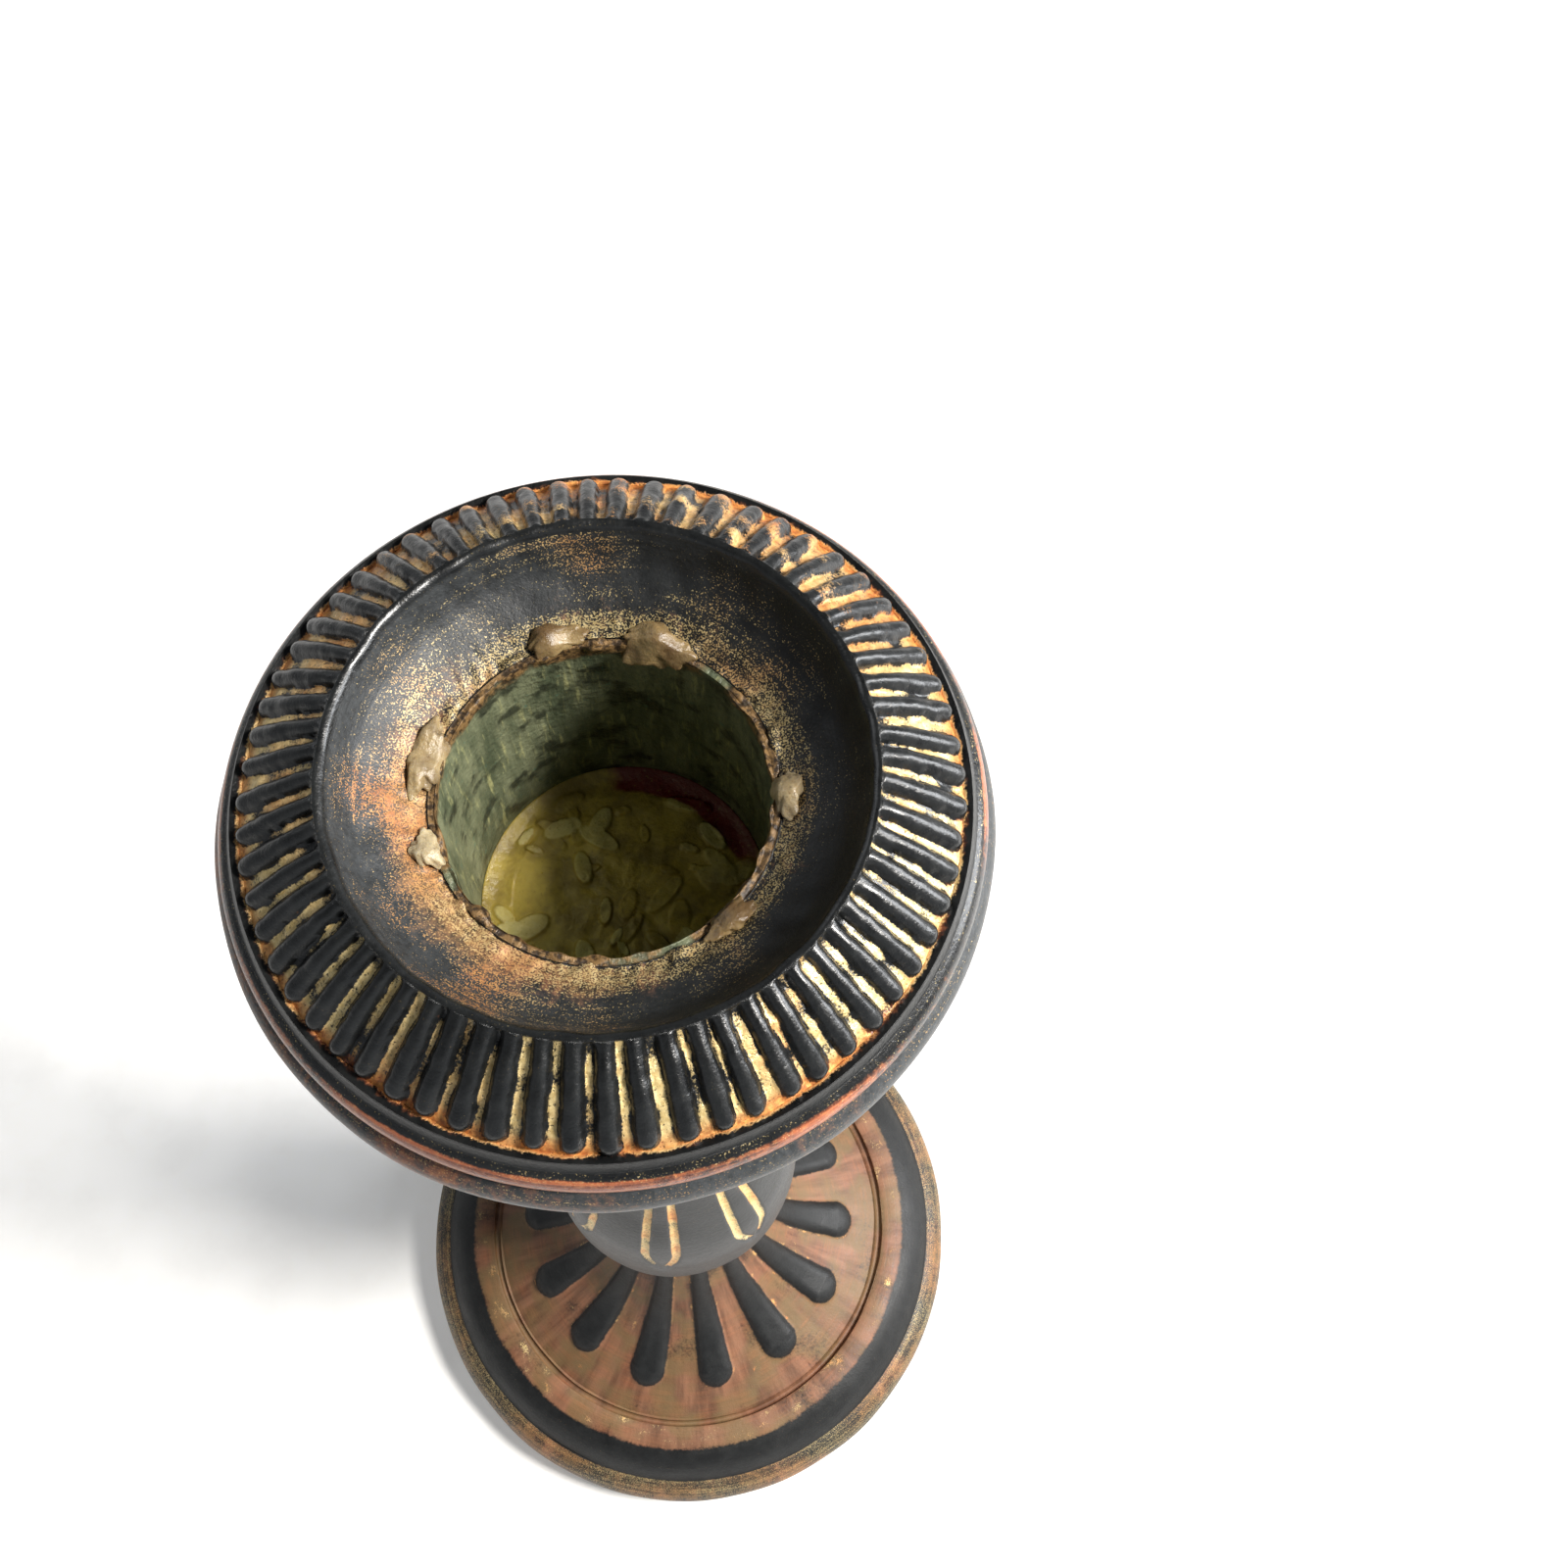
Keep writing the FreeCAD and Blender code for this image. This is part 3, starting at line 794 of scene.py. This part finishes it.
def build_cup(wood):
    """The candle cup and its drip pan, with a carved band of raised lobes round the dish."""
    cup_r = hole_r + 2.4
    bead_top = cup_z + cup_bead_h
    wall_z = liner_z + cup_swell
    under_z = edge_z - 2.0
    ledge_r = hole_r + 1.7
    ledge_z = mouth_z + 0.8
    corner_mid = hole_corner * 0.29
    outline = Outline(
        (0, cup_end_z),
        ("tenon", (tenon_r, cup_end_z)),
        ("tenon", (tenon_r, cup_z)),
        ("neck", (column_top_r, cup_z)),
        ("bead", (cup_bead_r, cup_z + cup_bead_h / 2), (column_top_r, bead_top)),
        ("bowl", (cup_r - 1.2, bead_top + (wall_z - bead_top) * 0.42), (cup_r, wall_z)),
        ("under", (cup_r + 2.4, under_z - (under_z - wall_z) * 0.25), (pan_r - 1.8, under_z)),
        ("rim", (pan_r, edge_z), (bead_r + 0.35, bead_z - 1.3)),
        ("copper_bead", (bead_r + 0.45, bead_z), (bead_r - 0.4, bead_z + 0.9)),
        ("quirk", (slope_r, crest_z - slope_drop - 0.35)),
        ("quirk", (slope_r, crest_z - slope_drop)),
        ("slope", ((crest_r + slope_r) / 2 + 0.2, crest_z - slope_drop * 0.42),
         (crest_r + 0.4, crest_z)),
        ("crest", (crest_r, crest_z - 0.1), (crest_r - 0.3, crest_z - 0.5)),
        ("dish", (ledge_r + (crest_r - ledge_r) * 0.6, ledge_z + (crest_z - ledge_z) * 0.36),
         (ledge_r, ledge_z), (hole_r + 0.3, mouth_z + 0.06), (hole_r, mouth_z)),
        ("bore", (hole_r, liner_z + hole_corner)),
        ("bore", (hole_r - corner_mid, liner_z + corner_mid), (hole_r - hole_corner, liner_z)),
        ("bore", (0, liner_z)),
        step=1.7, bend=14.0, wear=0.12,
        close={"slope": 0.24, "crest": 0.25, "dish": 0.6, "copper_bead": 0.4, "rim": 0.6,
               "quirk": 0.4},
    )
    angle = bearings(768)
    radius, along, _ = outline.columns
    slope, crest, rim = outline.on("slope"), outline.on("crest"), outline.on("rim")
    hollow = outline.on("dish")
    # Where: the ledge is the flat ring between the dish and the socket's mouth.
    ledge = hollow * smooth(-radius, -(ledge_r + 0.8), -(ledge_r - 0.6))
    dish = hollow - ledge
    bead, quirk = outline.on("copper_bead"), outline.on("quirk")

    # The lobes, whose spacing drifts slowly round the pan.
    run = np.hypot(slope_r - crest_r, slope_drop)
    half = 2 * np.pi * radius / lobes * 0.35
    drift = 0.12 + 0.34 * around(angle, 100, 36) + 0.12 * around(angle, 300, 30)
    rough = patches(angle, along, SEED + 11, 1.2, 20.0, 40)
    spots = patches(angle, along, SEED + 12, 3.0, 20.0)
    sway = 0.02 * patches(angle, along, SEED + 23, 5.0, 20.0)
    edge = lobe_ring(angle - (drift + sway) * 2 * np.pi / lobes, radius, along, lobes, half,
                     0.30, run + 1.0, first=0.0, seed=SEED + 10, shake=0.035)
    edge = np.where(slope > 0, edge + 0.035 * rough + 0.03 * spots, 5.0)
    end = smooth(along, run - 1.0, run - 0.1)
    depth = 0.66 * (1 - 0.65 * end)
    push = slope * (np.where(edge < 0, cushion(edge, half, depth), -depth) + 0.04 * spots)
    wide = patches(angle, along, SEED + 13, 9.0, 20.0)
    push = push + slope * smooth(edge, 0, 0.3) * 0.05 * rough
    push = push + dish * 0.04 * spots + rim * 0.05 * wide + crest * (0.05 * spots - 0.06)
    crumbs = smooth(patches(angle, along, SEED + 21, 1.6, 12.0, 40), 0.2, 1.6)
    at_mouth = hollow * smooth(-radius, -(hole_r + 1.6), -(hole_r + 0.2))
    push = push + ledge * 0.05 * rough + at_mouth * (0.42 * crumbs - 0.12)

    # The worn finish, by place and by side, with a painted grey sheen on the left of the dish.
    valley = slope * smooth(edge, -0.10, 0.12)
    outer = smooth(-along, -1.7, -0.6)
    inner = smooth(along, run - 1.9, run - 0.3)
    left = facing(angle, 195)
    low_left = smooth(facing(angle, 218), 0.45, 1.0)
    back = smooth(facing(angle, 88), 0.5, 1.0)
    front = smooth(facing(angle, 285), 0.3, 1.0)
    near_bore = smooth(-radius, -16.6, -12.6) * hollow
    gold = valley * (0.60 + 0.14 * spots - 0.08 * inner + 0.08 * outer)
    gold = gold + slope * (1 - valley) * (0.02 * spots + back * (0.37 + 0.12 * spots))
    gold = gold + near_bore * (0.19 * low_left + 0.02 * front + 0.09 * wide * (0.2 + 0.8 * left))
    gold = gold + ledge * (0.02 + 0.12 * spots) + rim * (0.08 + 0.10 * wide)
    gold = gold + slope * back * outer * 0.12
    warm = slope * (0.12 + 0.46 * outer + 0.15 * wide + 0.35 * back) + rim * 0.3
    warm = warm + hollow * (0.05 + 0.30 * low_left + 0.2 * wide)
    bead_face = bead * smooth(along, 0.35, 0.75) * (1 - smooth(along, 1.8, 2.3))
    copper = bead_face * (0.60 + 0.20 * wide) + rim * left * 0.30 + valley * outer * 0.5
    copper = copper + slope * bump_at(edge, -0.05, 0.2) * 0.25 + hollow * 0.10
    copper = copper + near_bore * (0.20 + 0.28 * low_left)
    copper = copper + quirk * 0.1 + rim * (0.16 + 0.1 * wide)
    dust = dish * (0.36 + 0.25 * wide) * (0.6 + 0.4 * left) + ledge * 0.55 + rim * 0.3
    dust = dust + slope * 0.06 + near_bore * (0.22 + 0.15 * low_left) + crest * 0.1 + bead * 0.3
    # Grey on the left of the dish is a painted sheen; elsewhere the grey is the paint's own tone.
    grey_and_sheen = slope * (edge < 0) * 0.03 + rim * 0.60 + dish * left * 0.40 + crest * 0.05
    cup_bead = outline.on("bead")
    gold = gold + cup_bead * (0.20 + 0.12 * spots) + outline.on("bowl") * 0.03 * wide
    copper = copper + cup_bead * 0.35 + outline.on("under") * (0.08 + 0.06 * wide)
    copper = copper + outline.on("bowl") * 0.10
    dust = dust + outline.on("bowl", "under") * 0.12 + cup_bead * 0.3
    tan = hollow * 0.85 + rim * 0.5
    numbers = dict(gold=gold, warm=warm, copper=copper, tan=tan, dust=dust, grey_and_sheen=grey_and_sheen)
    return turned_piece("carved_cup", outline, angle, push, numbers, wood, "candle_cup")


def build_liner(brass):
    """The thin brass socket, with a ragged, torn edge at its mouth."""
    outline = Outline(
        (0, liner_z),
        ("outside", (hole_r - hole_corner, liner_z)),
        ("outside", (hole_r - hole_corner_mid, liner_z + hole_corner_mid),
         (hole_r, liner_z + hole_corner)),
        ("outside", (hole_r, mouth_z)),
        ("lip", (bore_r, mouth_z)),
        ("wall", (bore_r, socket_z + wall_corner)),
        ("floor", (bore_r - wall_corner_mid, socket_z + wall_corner_mid),
         (bore_r - wall_corner, socket_z)),
        ("floor", (0, socket_z)),
        step=1.2, wear=0.09, close={"wall": 0.6, "lip": 0.1},
    )
    angle = bearings(360)
    _, along, height = outline.columns
    near_lip = smooth(height, mouth_z - 1.4, mouth_z)
    wall = outline.on("wall")
    crust = smooth(patches(angle, along, SEED + 15, 2.6, 11.0, 40), -0.2, 1.6)
    push = wall * (0.10 * crust + 0.30 * near_lip * crust)
    push = push + outline.on("lip") * 0.25 * (crust - 0.5)
    torn = 0.75 + 0.35 * wobble(angle, SEED + 16, 24, 3)
    edge = smooth(height, mouth_z - 2.2, mouth_z) * torn
    return turned_piece("brass_socket", outline, angle, push, dict(edge=edge), brass,
                        "socket_liner")


def build_wax_floor(wax):
    """The old wax on the floor of the socket: lumpy, with pale flakes lying in it."""
    top_r = bore_r - 0.01
    outline = Outline(
        (0, socket_z),
        ("under", (top_r - wall_corner, socket_z)),
        ("side", (top_r - wall_corner_mid, socket_z + wall_corner_mid), (top_r, wax_top_z)),
        ("rise", (top_r * 0.93, wax_top_z - 0.25), (top_r * 0.8, wax_top_z - 0.3)),
        ("top", (0, wax_top_z - 0.3)),
        step=0.8, wear=0.1, close={"top": 0.14, "rise": 0.2},
    )
    angle = bearings(480)
    radius = outline.r[:, None]
    x, y = radius * np.cos(angle), radius * np.sin(angle)
    rng = np.random.default_rng(SEED + 17)
    flake = np.zeros_like(x)
    lift = np.zeros_like(x)
    flakes = 58
    for _ in range(flakes):
        far, bearing = 9.6 * math.sqrt(rng.uniform(0, 1)), rng.uniform(0, 2 * np.pi)
        lean, long = rng.uniform(0, np.pi), rng.uniform(0.7, 2.1)
        wide, shade = long * rng.uniform(0.28, 0.55), rng.uniform(0.05, 0.55)
        dx, dy = x - far * math.cos(bearing), y - far * math.sin(bearing)
        along = dx * math.cos(lean) + dy * math.sin(lean)
        across = -dx * math.sin(lean) + dy * math.cos(lean)
        inside = 1 - np.hypot(along / long, across / wide)
        mask = smooth(inside, 0.0, 0.18)
        flake = np.maximum(flake, mask * shade)
        tilt = 1 + rng.normal(0, 0.25) * along / long
        lift = np.maximum(lift, mask * (0.18 + 0.22 * shade) * tilt)
    on_top = outline.on("top", "rise") * smooth(-radius, -(bore_r - 0.15), -(bore_r - 1.2))
    lumps = patches(angle, outline.along[:, None], SEED + 22, 3.0, 9.0) * smooth(radius, 0.5, 4.0)
    push = on_top * np.clip(lift + 0.10 * lumps - 0.15, -0.4, 0.4)
    near_wall = smooth(radius, 8.2, 10.8)
    flake = flake * on_top + 0.25 * near_wall * smooth(lumps, 0.3, 1.2)
    stain = smooth(facing(angle, 62), 0.80, 0.97) * smooth(radius, 8.4, 9.6) * 0.95
    return turned_piece("old_wax_floor", outline, angle, push, dict(flake=flake, stain=stain),
                        wax, "wax_puddle")


def build_drips(wax):
    """Hardened drips and chips round the mouth, each a thin lumpy crust that lies on the ledge.
    Each lump has a bearing, a length round the mouth, a width and a height."""
    lumps = [(78, 4.2, 1.7, 1.1), (112, 3.4, 1.2, 0.8), (172, 4.6, 1.5, 0.8),
             (203, 2.0, 1.2, 0.7), (4, 2.6, 1.2, 0.8), (318, 3.0, 1.1, 0.6)]
    rows, count = 26, 60
    rng = np.random.default_rng(SEED + 18)
    vertices, faces, flakes = [], [], []
    for number, (bearing, length, width, height) in enumerate(lumps):
        lean = 1.15 if number == 0 else 0.45
        down = np.linspace(0, np.pi, rows)[:, None]
        round_it = bearings(count)
        size = 1 + 0.16 * np.sin(3 * round_it + rng.uniform(0, 6)) * np.sin(down) ** 2
        size = size + 0.10 * np.sin(5 * round_it + 3 * down + rng.uniform(0, 6)) * np.sin(down)
        size = size + 0.07 * np.sin(8 * round_it - 5 * down + rng.uniform(0, 6)) * np.sin(down)
        x = size * np.sin(down) * np.cos(round_it) * (width / 2 + 0.35)
        y = size * np.sin(down) * np.sin(round_it) * (length / 2 + 0.3)
        swell = 0.75 + 0.35 * np.sin(1.7 * y + rng.uniform(0, 6))
        z = np.cos(down) * (height * 0.75 + 0.2) * swell
        z = np.maximum(z, -0.30)
        bend_r = bore_r + 0.55 + width / 2
        bow = bend_r - np.sqrt(np.maximum(bend_r ** 2 - y ** 2, 1))
        x = x - bow + bore_r + 0.75 + width / 2 - lean
        z = z + mouth_z + 0.20 + np.maximum(x - hole_r, 0) * 0.28
        z = z - 1.3 * np.maximum(bore_r + 0.2 - x, 0)
        turn = math.radians(bearing)
        grid = np.stack([x * math.cos(turn) - y * math.sin(turn),
                         x * math.sin(turn) + y * math.cos(turn), z], 2)
        start = sum(len(v) for v in vertices)
        ends = [grid[0].mean(0), grid[-1].mean(0)]
        vertices.append(np.concatenate([grid[1:-1].reshape(-1, 3), ends]))
        inner = (rows - 2) * count
        last = inner - count
        for i in range(rows - 3):
            for j in range(count):
                a, b = i * count + j, i * count + (j + 1) % count
                faces.append((start + a, start + a + count, start + b + count, start + b))
        for j in range(count):
            beyond = (j + 1) % count
            faces.append((start + inner, start + j, start + beyond))
            faces.append((start + inner + 1, start + last + beyond, start + last + j))
        flakes.append(np.full(inner + 2, rng.uniform(0.05, 0.45)))
    flake = np.concatenate(flakes)
    numbers = dict(flake=flake, stain=np.zeros_like(flake))
    return new_piece("wax_lumps", np.concatenate(vertices), faces, numbers, wax, "wax_drips",
                     angle=80)


def build_pad(cloth):
    """The round baize pad under the base, with a slightly uneven cut edge."""
    outline = Outline(
        (0, pad_low_z),
        ("under", (pad_r, pad_low_z)),
        ("edge", (pad_r, pad_top_z)),
        ("top", (0, pad_top_z)),
        step=2.5, wear=0.12, close={"edge": 0.25},
    )
    angle = bearings(360)
    push = outline.on("edge") * (0.10 * wobble(angle, SEED + 19, 30, 5) - 0.12)
    pad = turned_piece("baize_disc", outline, angle, push, {}, cloth, "baize_pad")
    return pad


def dress(node, material):
    """Give a CAD node that stays a new material."""
    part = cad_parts[node]
    if not part.material_slots:
        part.data.materials.append(material)
    for held in part.material_slots:
        held.material = material


# ---------------------------------------------------------------- stage, light and camera
def build_floor():
    """A plain pale table top."""
    g = Finish("pale_floor")
    tone = g.noise(14.0, 4.0, 0.6)
    colour = g.mix(g.ramp(tone, 0.3, 0.7), (0.74, 0.735, 0.72), (0.80, 0.795, 0.78))
    g.set(Base_Color=colour, Roughness=0.6, Emission_Color=colour, Emission_Strength=0.30)
    mesh = bpy.data.meshes.new("floor")
    half = 3.0
    corners = [(-half, -half, 0), (half, -half, 0), (half, half, 0), (-half, half, 0)]
    mesh.from_pydata(corners, [], [(0, 1, 2, 3)])
    mesh.materials.append(g.material)
    floor = new_object("floor", mesh)


def area_light(name, azimuth, elevation, distance, size, power, colour, aim):
    """A square soft light that looks at a point."""
    data = bpy.data.lights.new(name, "AREA")
    data.shape = "SQUARE"
    data.size = size
    data.energy = power
    data.color = colour
    lamp = new_object(name, data)
    a, e = math.radians(azimuth), math.radians(elevation)
    away = Vector((math.cos(a) * math.cos(e), math.sin(a) * math.cos(e), math.sin(e)))
    lamp.location = Vector(aim) + away * distance
    lamp.rotation_mode = "QUATERNION"
    lamp.rotation_quaternion = away.to_track_quat("Z", "Y")


def build_lights():
    """A key light and a low window light from the right, a weak one from the left, and a sky
    that is pale all round, brighter on the right and dark overhead."""
    middle = (0, 0, crest_z * MM * 0.8)
    area_light("key", -4, 46, 0.9, 0.22, 17.0, (1.0, 0.965, 0.92), middle)
    area_light("window", 12, 18, 0.9, 0.36, 6.5, (0.95, 0.97, 1.0), middle)
    area_light("fill", 150, 38, 1.2, 0.6, 2.0, (0.93, 0.96, 1.0), middle)
    world = bpy.data.worlds.new("pale_sky")
    bpy.context.scene.world = world
    world.use_nodes = True
    g = Graph(world.node_tree, "Generated")
    fades = []
    for way, ends in (((0, 0, 1), (0.15, 0.80, 0.52, 0.06)),
                      ((0.75, -0.55, 0), (-0.9, 0.6, 0.5, 1.1))):
        share = g.add("VectorMath", {0: g.place, 1: way}, operation="DOT_PRODUCT")
        fades.append(g.ramp(share.outputs["Value"], *ends))
    sky = g.nodes["Background"]
    g.plug(sky.inputs["Color"], (0.84, 0.89, 0.95))
    g.plug(sky.inputs["Strength"], g.math("MULTIPLY", *fades))


def build_camera():
    """The camera, above and in front, looking down at the pan."""
    data = bpy.data.cameras.new("camera")
    data.sensor_width = 36.0
    data.lens = 38.12
    data.clip_start = 0.01
    camera = new_object("camera", data)
    ahead = Vector((0.0, 0.38573, -0.92261)).normalized()
    right = Vector((0.99795, 0.05901, 0.02467)).normalized()
    up = right.cross(ahead)
    turn = Matrix((right, up, -ahead)).transposed()
    camera.matrix_world = Matrix.Translation((0.01166, -0.04064, 0.30902)) @ turn.to_4x4()
    bpy.context.scene.camera = camera


def main():
    """Build the pieces, the stage, the lights and the camera."""
    wood = gilded_wood(), "painted_wood"
    build_base(wood)
    build_vase(wood)
    build_column(wood)
    build_cup(wood)
    build_liner((verdigris_brass(), "socket_brass"))
    floor_wax = old_wax("floor_wax", deep=(0.50, 0.37, 0.065), pale=(0.70, 0.62, 0.27),
                        dirt=(0.27, 0.19, 0.035))
    build_wax_floor((floor_wax, "wax"))
    drip_wax = old_wax("drip_wax", deep=(0.27, 0.19, 0.085), pale=(0.60, 0.53, 0.36),
                       dirt=(0.10, 0.06, 0.025))
    build_drips((drip_wax, "wax"))
    build_pad((felt(), "baize"))
    steel = dull_steel()
    dress("base_screw", steel)
    dress("screw_washer", steel)
    build_floor()
    build_lights()
    build_camera()
    bpy.context.scene.view_settings.view_transform = "Standard"


main()
